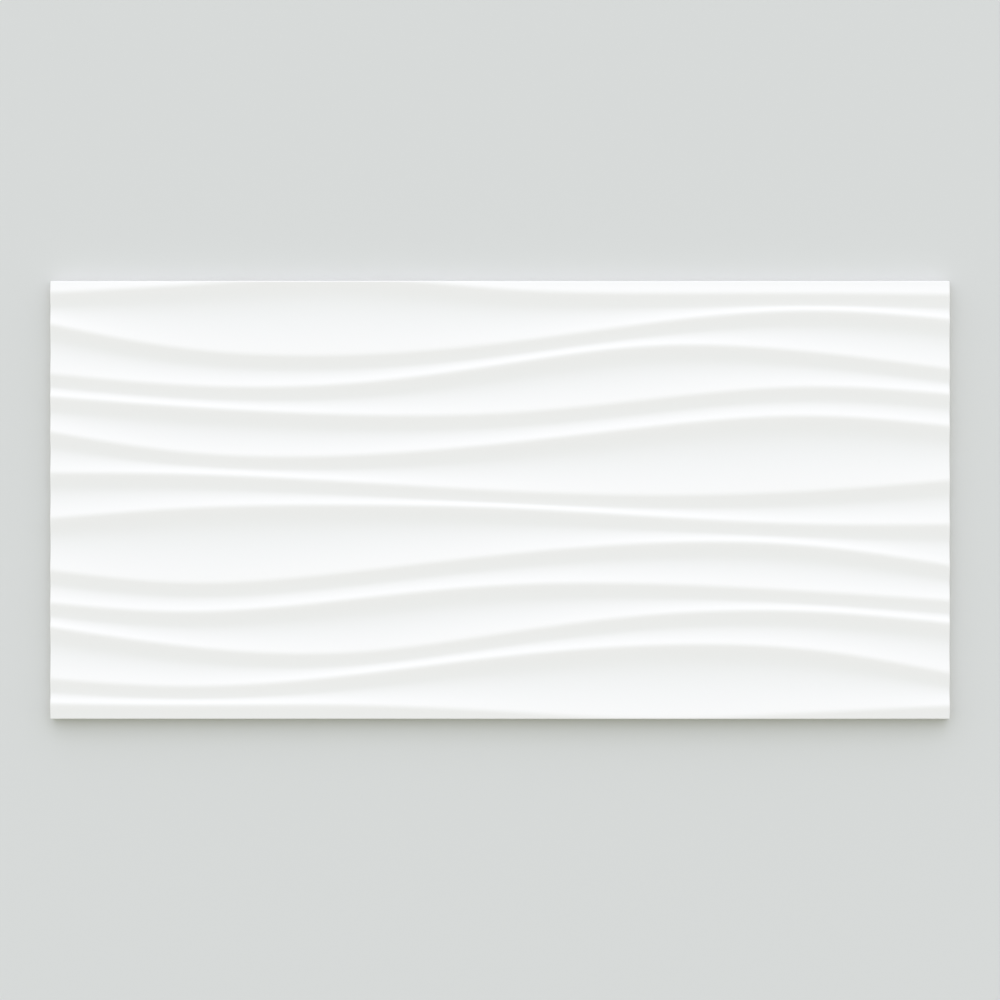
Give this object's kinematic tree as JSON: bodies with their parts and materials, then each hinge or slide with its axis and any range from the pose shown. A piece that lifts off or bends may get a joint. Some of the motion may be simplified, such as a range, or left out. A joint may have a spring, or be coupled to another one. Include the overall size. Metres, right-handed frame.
{
  "type": "wave relief wall tile",
  "caption": "Oblong glazed ceramic wall tile with a relief of long flowing waves on its face, square-cut edges and a keyed back that is bedded in adhesive.",
  "frame": {"origin": "middle of the bonding face, where the tile lies on its back", "axes": "+X along the length, +Y across the width towards the edge that is uppermost in the picture, +Z out of the waved face"},
  "size_m": [0.61, 0.297, 0.0099],
  "materials": {
    "white_glaze": "white glossy glaze over the face and its rim, unglazed pale biscuit on the edges and the back"
  },
  "bodies": {
    "root": {"wall_tile": "white_glaze"}
  },
  "joints": []
}
